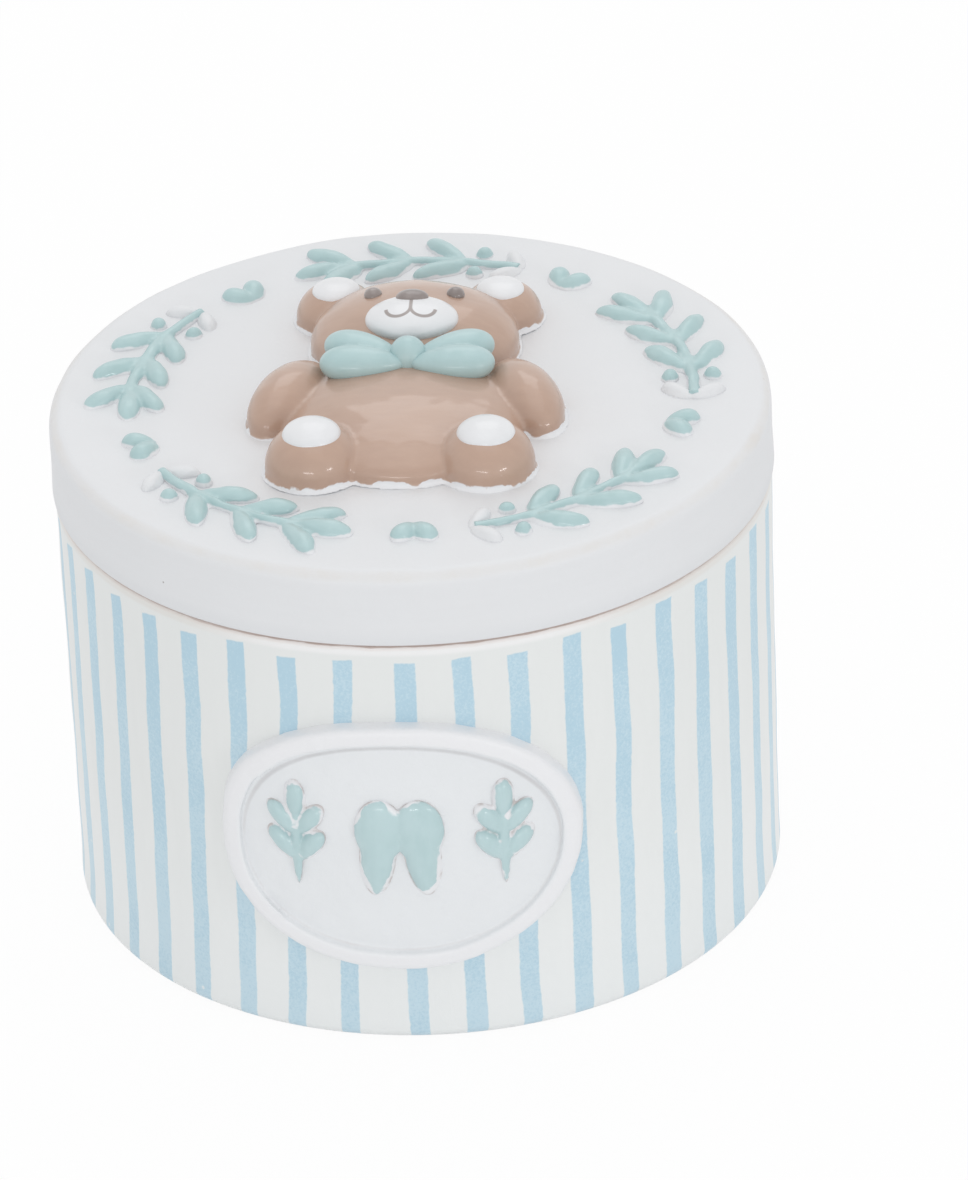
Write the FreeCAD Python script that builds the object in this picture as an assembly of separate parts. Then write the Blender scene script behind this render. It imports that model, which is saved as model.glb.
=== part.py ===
import FreeCAD
import Part
import math
import os

# Round keepsake box for baby teeth: a cast cup with a lift-off lid. Lengths are millimetres.
# The origin is the middle of the base, +Z is up and the oval plaque faces -Y.
# Left and right are those of someone looking at the plaque.
# The reliefs are moulded apart and luted on, so each one is a piece that seats on its carrier.

Vec = FreeCAD.Vector
ORIGIN = Vec(0, 0, 0)
X_AXIS = Vec(1, 0, 0)
Z_AXIS = Vec(0, 0, 1)
FULL_TURN = 360.0
HALF_TURN = FULL_TURN / 2
QUARTER_TURN = FULL_TURN / 4
SIDES = {"left": -1, "right": 1}

# Cup
BOX_RADIUS = 34.8
SEAT_HEIGHT = 43.8
WALL = 3.6
FLOOR = 4.2
BASE_ROUND = 1.2
SHOULDER_ROUND = 1.1
MOUTH_ROUND = 0.6
INSIDE_ROUND = 3.0

# Lid
LID_OVERHANG = 0.2
LID_HEIGHT = 7.8
LID_PLATE = 4.0
LID_TOP_ROUND = 1.5
LID_LIP_ROUND = 0.5
SPIGOT_DEPTH = 3.0
SPIGOT_WALL = 2.6
SPIGOT_CLEARANCE = 0.45
SPIGOT_ROUND = 0.7
ROOF_ROUND = 1.6

# Oval plaque, a little above the middle of the wall
PLAQUE_HALF_WIDTH = 17.2
PLAQUE_HALF_HEIGHT = 13.4
PLAQUE_RAISE = 0.35
PLAQUE_PLATE = 0.9
RIM_WIDTH = 2.0
RIM_PROUD = 1.7
RIM_ROUND = 0.7

# Tooth and leaf sprigs on the plaque
TOOTH_HALF_WIDTH = 4.6
TOOTH_HALF_HEIGHT = 5.6
TOOTH_PROUD = 1.0
TOOTH_ROUND = 0.4

# Wreath of leaf sprigs and hearts round the lid's top
WREATH_MARGIN = 3.0
STEM_WIDTH = 1.4
LEAF_LENGTH = 6.2
LEAF_WIDTH = 2.3
WHITE_LEAF_LENGTH = 3.6
WHITE_LEAF_WIDTH = 1.5
BERRY_RADIUS = 0.8
HEART_WIDTH = 4.4
HEART_PROUD = 0.9
SPRIG_COUNT = 5
LEAF_LEAN = 38.0
WHITE_LEAF_LEAN = 55.0

# Seated bear in the field inside the wreath
FIELD_GAP = 0.8
BEAR_PROUD = 5.6
ARM_LEAN = 22.0
BOW_LEAN = 12.0

# One overrun serves all cuts, and no round takes more than this share of a side
OVERRUN = 5.0
ROUND_LIMIT_SHARE = 0.45

# Right half of the tooth, crown dip to root fork, in shares of its half width and half height
TOOTH_OUTLINE_SHARES = (
    (0.0, 0.76),
    (0.52, 1.0),
    (0.97, 0.56),
    (0.80, -0.12),
    (0.62, -0.86),
    (0.36, -0.88),
    (0.22, -0.34),
    (0.0, -0.14),
)

# Plaque sprigs, in shares of the room between the tooth and the rim: leaf, stem and leaf places
PLAQUE_LEAF_SHARES = (0.38, 0.17)
PLAQUE_STEM_SHARES = (0.88, 0.10)
PLAQUE_LEAF_PLACE_SHARES = (-0.20, 0.10)

# Wreath: stem span and heart places in shares of the pitch, the rest in shares of the span or the band
SPRIG_SPAN_SHARE = 0.56
HEART_PLACE_SHARE = 0.56
LEAF_PLACE_SHARES = (-0.22, 0.06, 0.34)
BERRY_PLACE_SHARE = -0.28
BERRY_OFFSET_SHARE = 0.22

# Heart lobes: half length, half width and offset in shares of the heart's width
HEART_LOBE_SHARES = (0.36, 0.28, 0.19)

# Bear: centre and half sizes in shares of the field's radius, height in shares of BEAR_PROUD
BODY_SHARES = (0.0, -0.29, 0.54, 0.56, 0.74)
HEAD_SHARES = (0.0, 0.43, 0.475, 0.42, 1.0)
EAR_SHARES = (0.37, 0.72, 0.19, 0.19, 0.66)
ARM_SHARES = (0.52, -0.13, 0.16, 0.30, 0.74)
FOOT_SHARES = (0.38, -0.68, 0.215, 0.215, 0.86)

# Pieces set into those: centre and half sizes as above, then centre and half heights
MUZZLE_SHARES = (0.0, 0.30, 0.21, 0.165, 0.82, 0.34)
NOSE_SHARES = (0.0, 0.375, 0.075, 0.055, 1.10, 0.13)
EYE_SHARES = (0.185, 0.50, 0.042, 0.042, 0.90, 0.13)
EAR_INNER_SHARES = (0.37, 0.72, 0.11, 0.11, 0.53, 0.17)
FOOT_PAD_SHARES = (0.38, -0.68, 0.13, 0.13, 0.66, 0.26)
BOW_LOOP_SHARES = (0.2, 0.0, 0.19, 0.125, 0.72, 0.30)
BOW_KNOT_SHARES = (0.0, 0.0, 0.085, 0.085, 0.74, 0.36)

LID_RADIUS = BOX_RADIUS + LID_OVERHANG
LID_TOP = SEAT_HEIGHT + LID_HEIGHT
PLAQUE_FACE_RADIUS = BOX_RADIUS + PLAQUE_PLATE
PLAQUE_CENTRE = SEAT_HEIGHT / 2 + PLAQUE_RAISE
PLAQUE_SPRIG_ROOM = PLAQUE_HALF_WIDTH - RIM_WIDTH - TOOTH_HALF_WIDTH
LEAF_REACH = LEAF_LENGTH * math.sin(math.radians(LEAF_LEAN))
WREATH_BAND = 2 * LEAF_REACH + LEAF_WIDTH * math.cos(math.radians(LEAF_LEAN))
WREATH_RADIUS = LID_RADIUS - WREATH_MARGIN - WREATH_BAND / 2
FIELD_RADIUS = LID_RADIUS - WREATH_MARGIN - WREATH_BAND - FIELD_GAP
SPRIG_PITCH = FULL_TURN / SPRIG_COUNT
SPRIG_SPAN = SPRIG_PITCH * SPRIG_SPAN_SHARE
FIRST_SPRIG_ANGLE = SPRIG_PITCH / 2 - QUARTER_TURN


def corner_arc(before, corner, after, wanted_radius):
    """Start, middle and end of the tangent arc that rounds a corner."""
    towards_before = before - corner
    towards_after = after - corner
    half_angle = towards_before.getAngle(towards_after) / 2
    shorter_side = min(towards_before.Length, towards_after.Length)
    radius = min(wanted_radius, ROUND_LIMIT_SHARE * shorter_side * math.tan(half_angle))
    towards_before.normalize()
    towards_after.normalize()
    reach = radius / math.tan(half_angle)
    bisector = (towards_before + towards_after).normalize()
    middle = corner + bisector * (radius / math.sin(half_angle) - radius)
    return corner + towards_before * reach, middle, corner + towards_after * reach


def turned(corners):
    """Solid of revolution about Z from (radius, height, round) corners."""
    points = [Vec(radius, 0, height) for radius, height, _ in corners]
    spans = []
    for index, (_, _, wanted_radius) in enumerate(corners):
        before = points[index - 1]
        after = points[(index + 1) % len(points)]
        if wanted_radius:
            spans.append(corner_arc(before, points[index], after, wanted_radius))
        else:
            spans.append((points[index],))
    edges = []
    for index, span in enumerate(spans):
        if len(span) > 1:
            edges.append(Part.Arc(*span).toShape())
        following = spans[(index + 1) % len(spans)]
        edges.append(Part.LineSegment(span[-1], following[0]).toShape())
    return Part.Face(Part.Wire(edges)).revolve(ORIGIN, Z_AXIS, FULL_TURN)


def box_cup():
    inner_radius = BOX_RADIUS - WALL
    return turned([
        (0, 0, 0),
        (BOX_RADIUS, 0, BASE_ROUND),
        (BOX_RADIUS, SEAT_HEIGHT, SHOULDER_ROUND),
        (inner_radius, SEAT_HEIGHT, MOUTH_ROUND),
        (inner_radius, FLOOR, INSIDE_ROUND),
        (0, FLOOR, 0),
    ])


def lid_cap():
    spigot_radius = BOX_RADIUS - WALL - SPIGOT_CLEARANCE
    hollow_radius = spigot_radius - SPIGOT_WALL
    spigot_end = SEAT_HEIGHT - SPIGOT_DEPTH
    roof = LID_TOP - LID_PLATE
    return turned([
        (0, LID_TOP, 0),
        (0, roof, 0),
        (hollow_radius, roof, ROOF_ROUND),
        (hollow_radius, spigot_end, SPIGOT_ROUND),
        (spigot_radius, spigot_end, SPIGOT_ROUND),
        (spigot_radius, SEAT_HEIGHT, 0),
        (LID_RADIUS, SEAT_HEIGHT, LID_LIP_ROUND),
        (LID_RADIUS, LID_TOP, LID_TOP_ROUND),
    ])


def wall_shell(inner_radius, outer_radius):
    """Round layer outside the cup, from which the plaque's pieces are cut."""
    outer = Part.makeCylinder(outer_radius, SEAT_HEIGHT)
    return outer.cut(Part.makeCylinder(inner_radius, SEAT_HEIGHT))


def through_front(outline):
    """Bar along -Y through the front wall, from a closed outline in the XZ plane."""
    reach = BOX_RADIUS + RIM_PROUD + OVERRUN
    return Part.Face(Part.Wire(outline)).extrude(Vec(0, -reach, 0))


def oval_bar(half_width, half_height):
    centre = Vec(0, 0, PLAQUE_CENTRE)
    across = centre + Vec(half_width, 0, 0)
    upwards = centre + Vec(0, 0, half_height)
    if half_width >= half_height:
        oval = Part.Ellipse(across, upwards, centre)
    else:
        oval = Part.Ellipse(upwards, across, centre)
    return through_front(oval.toShape())


def rounded_front(shape, radius, edge_round, thickness):
    """Rounds the edges on the face of that radius about Z, within a share of the piece's thickness."""
    edges = []
    for edge in shape.Edges:
        middle = edge.valueAt((edge.FirstParameter + edge.LastParameter) / 2)
        if math.isclose(math.hypot(middle.x, middle.y), radius, rel_tol=Part.Precision.confusion()):
            edges.append(edge)
    return shape.makeFillet(min(edge_round, ROUND_LIMIT_SHARE * thickness), edges)


def oval_plaque():
    rim_radius = BOX_RADIUS + RIM_PROUD
    outer = oval_bar(PLAQUE_HALF_WIDTH, PLAQUE_HALF_HEIGHT)
    inner = oval_bar(PLAQUE_HALF_WIDTH - RIM_WIDTH, PLAQUE_HALF_HEIGHT - RIM_WIDTH)
    rim = outer.cut(inner).common(wall_shell(BOX_RADIUS, rim_radius))
    rim = rounded_front(rim, rim_radius, RIM_ROUND, min(RIM_WIDTH, RIM_PROUD))
    plate = inner.common(wall_shell(BOX_RADIUS, PLAQUE_FACE_RADIUS))
    return rim.fuse(plate).removeSplitter()


def plaque_tooth():
    mirrored_shares = [(-across, upwards) for across, upwards in TOOTH_OUTLINE_SHARES[-2:0:-1]]
    points = [
        Vec(across * TOOTH_HALF_WIDTH, 0, PLAQUE_CENTRE + upwards * TOOTH_HALF_HEIGHT)
        for across, upwards in list(TOOTH_OUTLINE_SHARES) + mirrored_shares
    ]
    outline = Part.BSplineCurve()
    outline.interpolate(Points=points, PeriodicFlag=True)
    front_radius = PLAQUE_FACE_RADIUS + TOOTH_PROUD
    tooth = through_front(outline.toShape()).common(wall_shell(PLAQUE_FACE_RADIUS, front_radius))
    return rounded_front(tooth, front_radius, TOOTH_ROUND, TOOTH_PROUD)


def pod(length, width, direction):
    """Pointed leaf from the origin: an arc turned about its chord, lying in the XY plane."""
    tip = Vec(length, 0, 0)
    side = Vec(length / 2, width / 2, 0)
    outline = Part.Wire([
        Part.Arc(ORIGIN, side, tip).toShape(),
        Part.LineSegment(tip, ORIGIN).toShape(),
    ])
    leaf = Part.Face(outline).revolve(ORIGIN, X_AXIS, FULL_TURN)
    leaf.rotate(ORIGIN, Z_AXIS, direction)
    return leaf


def on_wall(shape, across, upwards):
    """Stands a flat-lying shape on the plaque's face, at a way round the wall and up from its centre."""
    shape.rotate(ORIGIN, X_AXIS, QUARTER_TURN)
    shape.translate(Vec(0, -PLAQUE_FACE_RADIUS, PLAQUE_CENTRE + upwards))
    shape.rotate(ORIGIN, Z_AXIS, math.degrees(across / PLAQUE_FACE_RADIUS))
    return shape


def plaque_sprig(side):
    """Upright stem with two pairs of leaves and a tip leaf, midway between the tooth and the rim."""
    across = side * (TOOTH_HALF_WIDTH + PLAQUE_SPRIG_ROOM / 2)
    leaf_size = [share * PLAQUE_SPRIG_ROOM for share in PLAQUE_LEAF_SHARES]
    stem_length, stem_width = [share * PLAQUE_SPRIG_ROOM for share in PLAQUE_STEM_SHARES]
    sprig = on_wall(pod(stem_length, stem_width, QUARTER_TURN), across, -stem_length / 2)
    leaves = [on_wall(pod(*leaf_size, QUARTER_TURN), across, stem_length / 2 - leaf_size[0] / 2)]
    for place_share in PLAQUE_LEAF_PLACE_SHARES:
        for lean in (-LEAF_LEAN, LEAF_LEAN):
            leaf = pod(*leaf_size, QUARTER_TURN + lean)
            leaves.append(on_wall(leaf, across, place_share * stem_length))
    return sprig.fuse(leaves).cut(Part.makeCylinder(PLAQUE_FACE_RADIUS, SEAT_HEIGHT))


def round_lid(shape, radius, angle):
    """Carries a shape from the origin out along +X on the lid's top, then round to an angle."""
    shape.translate(Vec(radius, 0, LID_TOP))
    shape.rotate(ORIGIN, Z_AXIS, angle)
    return shape


def above_lid(shape):
    """The part of a shape that stands on the lid's top."""
    return shape.common(Part.makeCylinder(LID_RADIUS, OVERRUN, Vec(0, 0, LID_TOP)))


def round_wreath(shape):
    """Copies of a wreath piece, one for each sprig. The first sprig lies to the right of the front."""
    copies = []
    for index in range(SPRIG_COUNT):
        copy = shape.copy()
        copy.rotate(ORIGIN, Z_AXIS, FIRST_SPRIG_ANGLE + index * SPRIG_PITCH)
        copies.append(copy)
    return copies


def sprig():
    """Round stem along the wreath with pairs of leaves that lean along it, and a tip leaf."""
    middle = Vec(0, 0, LID_TOP)
    stem = Part.makeTorus(WREATH_RADIUS, STEM_WIDTH / 2, middle, Z_AXIS, 0, FULL_TURN, SPRIG_SPAN)
    stem.rotate(ORIGIN, Z_AXIS, -SPRIG_SPAN / 2)
    tip_leaf = pod(LEAF_LENGTH, LEAF_WIDTH, QUARTER_TURN)
    tip_leaf.translate(Vec(0, -LEAF_WIDTH, 0))
    leaves = [round_lid(tip_leaf, WREATH_RADIUS, SPRIG_SPAN / 2)]
    for place_share in LEAF_PLACE_SHARES:
        for lean in (-LEAF_LEAN, LEAF_LEAN):
            leaf = pod(LEAF_LENGTH, LEAF_WIDTH, QUARTER_TURN + lean)
            leaves.append(round_lid(leaf, WREATH_RADIUS, place_share * SPRIG_SPAN))
    return above_lid(stem.fuse(leaves))


def white_leaf_pair(carrier):
    """Two small leaves at the foot of a sprig, seated against its stem."""
    leaves = []
    for lean in (-WHITE_LEAF_LEAN, WHITE_LEAF_LEAN):
        leaf = pod(WHITE_LEAF_LENGTH, WHITE_LEAF_WIDTH, QUARTER_TURN + lean)
        leaves.append(above_lid(round_lid(leaf, WREATH_RADIUS, -SPRIG_SPAN / 2)).cut(carrier))
    return Part.makeCompound(leaves)


def berry_pair(neighbours):
    """A half-round berry on each side of a stem."""
    berries = []
    for side in SIDES.values():
        radius = WREATH_RADIUS + side * BERRY_OFFSET_SHARE * WREATH_BAND
        berry = dome(BERRY_RADIUS, BERRY_RADIUS, BERRY_RADIUS)
        berries.append(round_lid(berry, radius, BERRY_PLACE_SHARE * SPRIG_SPAN).cut(neighbours))
    return Part.makeCompound(berries)


def dome(half_width, half_length, height):
    """Upper half of an ellipsoid, flat underneath."""
    scale = FreeCAD.Matrix()
    scale.scale(half_width, half_length, height)
    return Part.makeSphere(1, ORIGIN, Z_AXIS, 0, QUARTER_TURN, FULL_TURN).transformGeometry(scale)


def ball(half_width, half_length, half_height):
    scale = FreeCAD.Matrix()
    scale.scale(half_width, half_length, half_height)
    whole = Part.makeSphere(1, ORIGIN, Z_AXIS, -QUARTER_TURN, QUARTER_TURN, FULL_TURN)
    return whole.transformGeometry(scale)


def heart():
    """Puffed heart in the gap after a sprig, pointing to the middle of the lid: two leaning domes."""
    half_length, half_width, offset = [share * HEART_WIDTH for share in HEART_LOBE_SHARES]
    lobes = []
    for side in SIDES.values():
        lobe = dome(half_length, half_width, HEART_PROUD)
        lobe.rotate(ORIGIN, Z_AXIS, side * LEAF_LEAN)
        lobe.translate(Vec(0, side * offset, 0))
        lobes.append(round_lid(lobe, WREATH_RADIUS, HEART_PLACE_SHARE * SPRIG_PITCH))
    return lobes[0].fuse(lobes[1])


def wreath():
    """The wreath's pieces: a node for each sprig, and a group of each smaller piece."""
    first_sprig = sprig()
    leaf_pair = white_leaf_pair(first_sprig)
    pieces = {
        "white_leaves": Part.makeCompound(round_wreath(leaf_pair)),
        "berries": Part.makeCompound(round_wreath(berry_pair([first_sprig, leaf_pair]))),
        "hearts": Part.makeCompound(round_wreath(heart())),
    }
    for index, shape in enumerate(round_wreath(first_sprig)):
        pieces["sprig_" + str(index + 1)] = shape
    return pieces


def on_field(shape, across_share, along_share, height_share, side, lean):
    """Sets a bear piece in the field, at shares of the field's radius and of the bear's height.

    A left piece is turned half round, so that its seam is on its outer side as a right one's is.
    """
    shape.rotate(ORIGIN, Z_AXIS, side * lean + (HALF_TURN if side < 0 else 0))
    shape.translate(Vec(
        side * across_share * FIELD_RADIUS,
        along_share * FIELD_RADIUS,
        LID_TOP + height_share * BEAR_PROUD,
    ))
    return shape


def bear_dome(shares, side=1, lean=0.0):
    across, along, half_width, half_length, height = shares
    shape = dome(half_width * FIELD_RADIUS, half_length * FIELD_RADIUS, height * BEAR_PROUD)
    return on_field(shape, across, along, 0, side, lean)


def bear_ball(shares, side=1, lean=0.0):
    across, along, half_width, half_length, middle, half_height = shares
    shape = ball(half_width * FIELD_RADIUS, half_length * FIELD_RADIUS, half_height * BEAR_PROUD)
    return on_field(shape, across, along, middle, side, lean)


def pair(maker, shares):
    """A left and right piece in one node."""
    return Part.makeCompound([maker(shares, side) for side in SIDES.values()])


def bear():
    """The bear's pieces: what sits on top keeps its shape, and what carries it is cut to seat it."""
    knot = bear_ball(BOW_KNOT_SHARES)
    nose = bear_ball(NOSE_SHARES)
    eyes = pair(bear_ball, EYE_SHARES)
    foot_pads = pair(bear_ball, FOOT_PAD_SHARES)
    whole_loops = {name: bear_ball(BOW_LOOP_SHARES, side, BOW_LEAN) for name, side in SIDES.items()}
    whole_bow = [knot] + list(whole_loops.values())
    whole_muzzle = bear_ball(MUZZLE_SHARES)
    whole_head = bear_dome(HEAD_SHARES)
    whole_arms = {name: bear_dome(ARM_SHARES, side, ARM_LEAN) for name, side in SIDES.items()}
    whole_feet = {name: bear_dome(FOOT_SHARES, side) for name, side in SIDES.items()}
    over_arms = whole_bow + list(whole_feet.values()) + [whole_head]
    loops = {name: loop.cut(knot) for name, loop in whole_loops.items()}
    muzzle = whole_muzzle.cut(whole_bow + [nose])
    head = whole_head.cut(whole_bow + [whole_muzzle, nose, eyes])
    ear_inners = pair(bear_ball, EAR_INNER_SHARES).cut(whole_head)
    ears = {name: bear_dome(EAR_SHARES, side).cut([whole_head, ear_inners]) for name, side in SIDES.items()}
    feet = {name: foot.cut(foot_pads) for name, foot in whole_feet.items()}
    arms = {name: arm.cut(over_arms) for name, arm in whole_arms.items()}
    body = bear_dome(BODY_SHARES).cut(over_arms + list(whole_arms.values()))
    pieces = {
        "bow_knot": knot,
        "bear_nose": nose,
        "bear_eyes": eyes,
        "ear_inners": ear_inners,
        "foot_pads": foot_pads,
        "bear_muzzle": muzzle,
        "bear_head": head,
        "bear_body": body,
    }
    for name in SIDES:
        pieces["bow_" + name + "_loop"] = loops[name]
        pieces["bear_" + name + "_ear"] = ears[name]
        pieces["bear_" + name + "_arm"] = arms[name]
        pieces["bear_" + name + "_foot"] = feet[name]
    return pieces


parts = {
    "box_cup": box_cup(),
    "lid_cap": lid_cap(),
    "oval_plaque": oval_plaque(),
    "plaque_tooth": plaque_tooth(),
}
for name, side in SIDES.items():
    parts["plaque_" + name + "_sprig"] = plaque_sprig(side)
parts.update(wreath())
parts.update(bear())

os.makedirs("parts", exist_ok=True)
for node, shape in parts.items():
    shape.exportStep(os.path.join("parts", node + ".step"))
    print(node, len(shape.Solids), shape.isValid(), round(shape.Volume, 1))
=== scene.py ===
import contextlib
import math

import bpy
from mathutils import Matrix, Vector


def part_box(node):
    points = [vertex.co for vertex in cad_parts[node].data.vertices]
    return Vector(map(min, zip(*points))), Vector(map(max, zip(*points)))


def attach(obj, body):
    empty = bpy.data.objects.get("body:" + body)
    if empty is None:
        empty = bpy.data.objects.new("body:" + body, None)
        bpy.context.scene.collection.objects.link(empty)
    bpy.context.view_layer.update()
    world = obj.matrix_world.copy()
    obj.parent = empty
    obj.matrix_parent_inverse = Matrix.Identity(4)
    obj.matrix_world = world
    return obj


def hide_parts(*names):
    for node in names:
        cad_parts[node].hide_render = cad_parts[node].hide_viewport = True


# Hand-painted keepsake box for baby teeth. Metres, in the frame's own axes: the plaque faces -Y.
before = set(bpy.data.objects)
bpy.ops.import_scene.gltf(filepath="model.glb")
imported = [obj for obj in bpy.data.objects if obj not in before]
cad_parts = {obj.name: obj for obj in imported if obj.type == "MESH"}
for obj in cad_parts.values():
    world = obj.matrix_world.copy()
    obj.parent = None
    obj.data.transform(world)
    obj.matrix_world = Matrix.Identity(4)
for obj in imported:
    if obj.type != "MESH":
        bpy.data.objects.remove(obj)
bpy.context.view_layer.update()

MM = 0.001
QUARTER_TURN = math.pi / 2
FULL_TURN = 2 * math.pi
SIDES = {"left": -1, "right": 1}

# Cup and lid, with their outer sizes from the frame
BOX_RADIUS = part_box("box_cup")[1].x
SEAT_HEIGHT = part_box("box_cup")[1].z
LID_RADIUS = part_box("lid_cap")[1].x
LID_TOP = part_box("lid_cap")[1].z
SPIGOT_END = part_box("lid_cap")[0].z
WALL = 3.6 * MM
FLOOR = 4.2 * MM
BASE_ROUND = 1.2 * MM
SHOULDER_ROUND = 0.55 * MM
MOUTH_ROUND = 0.6 * MM
INSIDE_ROUND = 3.0 * MM
LID_PLATE = 4.0 * MM
LID_TOP_ROUND = 1.5 * MM
LID_LIP_ROUND = 0.35 * MM
SPIGOT_WALL = 2.6 * MM
SPIGOT_CLEARANCE = 0.45 * MM
SPIGOT_ROUND = 0.7 * MM
ROOF_ROUND = 1.6 * MM

# Oval plaque, with its outer sizes from the frame
PLAQUE_HALF_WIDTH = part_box("oval_plaque")[1].x
PLAQUE_HALF_HEIGHT = (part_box("oval_plaque")[1].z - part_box("oval_plaque")[0].z) / 2
PLAQUE_CENTRE = (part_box("oval_plaque")[1].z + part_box("oval_plaque")[0].z) / 2
OVAL_POWERS = {"left": 2.3, "right": 2.1}
PLAQUE_PLATE = 0.9 * MM
RIM_WIDTH = 2.0 * MM
RIM_PROUD = 1.7 * MM
RIM_ROUND = 0.7 * MM
RIM_INNER_ROUND = 0.45 * MM

# Tooth on the plaque, with its places and sizes in shares of its half width and half height
TOOTH_HALF_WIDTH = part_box("plaque_tooth")[1].x
TOOTH_HALF_HEIGHT = 5.6 * MM
TOOTH_PROUD = 1.0 * MM
TOOTH_ROOT_LEAN = math.radians(5)
CUSP_PLACE_SHARES = (0.41, 0.34)
CUSP_SIZE_SHARES = (0.55, 0.61)
ROOT_TIP_SHARES = (0.56, -0.94)
ROOT_SIZE_SHARES = (0.74, 1.6)

# Wreath of leaf sprigs round the lid's top
WREATH_MARGIN = 3.0 * MM
STEM_WIDTH = 1.4 * MM
LEAF_LENGTH = 6.2 * MM
LEAF_WIDTH = 2.3 * MM
LEAF_PROUD = 1.05 * MM
WHITE_LEAF_LENGTH = 3.6 * MM
WHITE_LEAF_WIDTH = 1.5 * MM
WHITE_LEAF_PROUD = 0.7 * MM
BERRY_RADIUS = 0.8 * MM
HEART_WIDTH = 4.4 * MM
HEART_PROUD = 0.9 * MM
SPRIG_COUNT = 5
LEAF_LEAN = math.radians(38)
WHITE_LEAF_LEAN = math.radians(55)
WREATH_BAND = 2 * LEAF_LENGTH * math.sin(LEAF_LEAN) + LEAF_WIDTH * math.cos(LEAF_LEAN)
WREATH_RADIUS = LID_RADIUS - WREATH_MARGIN - WREATH_BAND / 2
SPRIG_PITCH = FULL_TURN / SPRIG_COUNT
SPRIG_SPAN_SHARE = 0.56
SPRIG_SPAN = SPRIG_PITCH * SPRIG_SPAN_SHARE
FIRST_SPRIG_ANGLE = SPRIG_PITCH / 2 - QUARTER_TURN
LEAF_PLACE_SHARES = (-0.22, 0.06, 0.34)
HEART_PLACE_SHARE = 0.56
HEART_LOBE_SHARES = (0.76, 0.47)
HEART_POINT_SHARE = 0.37
HEART_FAN = math.radians(33)
BERRY_PLACE_SHARE = -0.28
BERRY_OFFSET_SHARE = 0.22
BERRY_WIDTH_SHARE = 0.9

# Plaque sprigs, in shares of the room between the tooth and the rim
PLAQUE_SPRIG_ROOM = PLAQUE_HALF_WIDTH - RIM_WIDTH - TOOTH_HALF_WIDTH
PLAQUE_LEAF_SHARES = (0.38, 0.17)
PLAQUE_STEM_SHARES = (0.88, 0.10)
PLAQUE_LEAF_PLACE_SHARES = (-0.20, 0.10)
PLAQUE_LEAF_PROUD = 0.75 * MM
PLAQUE_STEM_PROUD_SHARE = 0.7

# Bear: centre and half sizes in shares of the field inside the wreath, height in shares of its own
FOOT_PAD_SHARES = (0.38, -0.68, 0.13, 0.13, 0.66, 0.26)
NOSE_SHARES = (0.0, 0.375, 0.075, 0.055, 1.10, 0.13)
FIELD_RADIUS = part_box("foot_pads")[1].x / (FOOT_PAD_SHARES[0] + FOOT_PAD_SHARES[2])
BEAR_PROUD = (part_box("bear_nose")[1].z - LID_TOP) / (NOSE_SHARES[4] + NOSE_SHARES[5])
BODY_SHARES = (0.0, -0.29, 0.54, 0.56, 0.74)
HEAD_SHARES = (0.0, 0.43, 0.475, 0.42, 1.0)
EAR_SHARES = (0.37, 0.72, 0.19, 0.19, 0.66)
ARM_SHARES = (0.52, -0.13, 0.16, 0.30, 0.74)
FOOT_SHARES = (0.38, -0.68, 0.215, 0.215, 0.86)
MUZZLE_SHARES = (0.0, 0.30, 0.21, 0.165, 0.82, 0.34)
EYE_SHARES = (0.185, 0.50, 0.042, 0.042, 0.90, 0.13)
EAR_INNER_SHARES = (0.37, 0.72, 0.11, 0.11, 0.53, 0.17)
BOW_LOOP_SHARES = (0.2, 0.0, 0.19, 0.125, 0.72, 0.30)
BOW_KNOT_SHARES = (0.0, 0.0, 0.085, 0.085, 0.74, 0.36)
ARM_LEAN = math.radians(22)
BOW_LEAN = math.radians(12)

# Folds of a bow loop: their fan in radians, how far it parts them, and their width in shares of the loop's
BOW_FAN = 0.2
BOW_FAN_SHIFT_SHARE = 0.3
BOW_FOLD_WIDTH_SHARE = 0.72
BOW_FOLD_TAPER = 0.55

# Painted mouth: its two arcs and their place in shares of the field's radius, its line in millimetres
MOUTH_ARC_SHARE = 0.055
MOUTH_PLACE_SHARE = 0.262
MOUTH_LINE = 0.34
MOUTH_SOFT_EDGE = 0.06
MOUTH_TURN_BAND = (-0.04, 0.04)
MOUTH_STRENGTH = 0.9

# How the clay is worked: a lump's shoulder, a leaf's taper, the soft foot, and how deep it is bedded
SHOULDER_SHARE = 0.14
LEAF_TAPER = 0.5
FIGURE_FOOT_REACH = 0.45 * MM
LEAF_FOOT_REACH = 0.2 * MM
FOOT_PROUD = 0.3 * MM
FOOT_SINK = 0.16 * MM
BEDDING = 0.6 * MM

# How lumps are merged: the grain of the clay, and how often their creases are smoothed over
FINE_GRAIN = 0.17 * MM
PLAQUE_SPRIG_GRAIN = 0.136 * MM
FIGURE_GRAIN = 0.22 * MM
SMOOTHING = 0.5
RELIEF_SOFTNESS = 4
BEAD_SOFTNESS = 3
FIGURE_SOFTNESS = 6
TOOTH_SOFTNESS = 9

# Unevenness by hand: how deep or how far sideways, over patches of what size
CUP_UNEVENNESS = (0.22 * MM, 9 * MM)
LID_UNEVENNESS = (0.26 * MM, 8 * MM)
PLAQUE_UNEVENNESS = (0.16 * MM, 2.2 * MM)
PLAQUE_SWAYS = {"X": (0.3 * MM, 11 * MM), "Y": (0.3 * MM, 13 * MM)}
SPRIG_UNEVENNESS = (0.25 * MM, 2.5 * MM)
SPRIG_SWAYS = {"X": (0.7 * MM, 5 * MM), "Y": (0.7 * MM, 6 * MM)}
BEAR_UNEVENNESS = (0.2 * MM, 4 * MM)
EDGE_EASE = 3.0 * MM
PRESSED_IN = 1.0
EITHER_WAY = 0.5

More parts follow.
